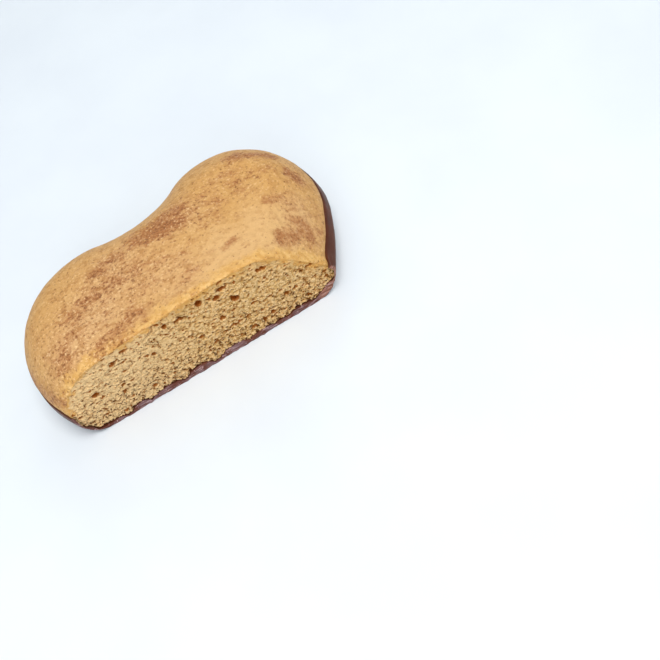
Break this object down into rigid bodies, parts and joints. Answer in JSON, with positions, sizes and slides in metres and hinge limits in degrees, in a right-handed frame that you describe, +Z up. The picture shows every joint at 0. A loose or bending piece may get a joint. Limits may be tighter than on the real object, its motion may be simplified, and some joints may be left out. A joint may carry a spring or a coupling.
{
  "type": "gingerbread cookie",
  "caption": "Soft heart-shaped gingerbread cookie with a chocolate-coated base, its tip cut off to show the porous crumb.",
  "frame": {"origin": "middle of the bounding box, on the flat base that the cookie lies on", "axes": "+Z up through the cookie's thickness, +X from the left lobe to the right lobe, +Y from the cut face towards the notch between the lobes"},
  "size_m": [0.07, 0.0398, 0.021],
  "materials": {
    "baked_gingerbread": "satin",
    "chocolate": "satin"
  },
  "bodies": {
    "root": {"gingerbread": "baked_gingerbread", "chocolate_base": "chocolate"}
  },
  "joints": []
}
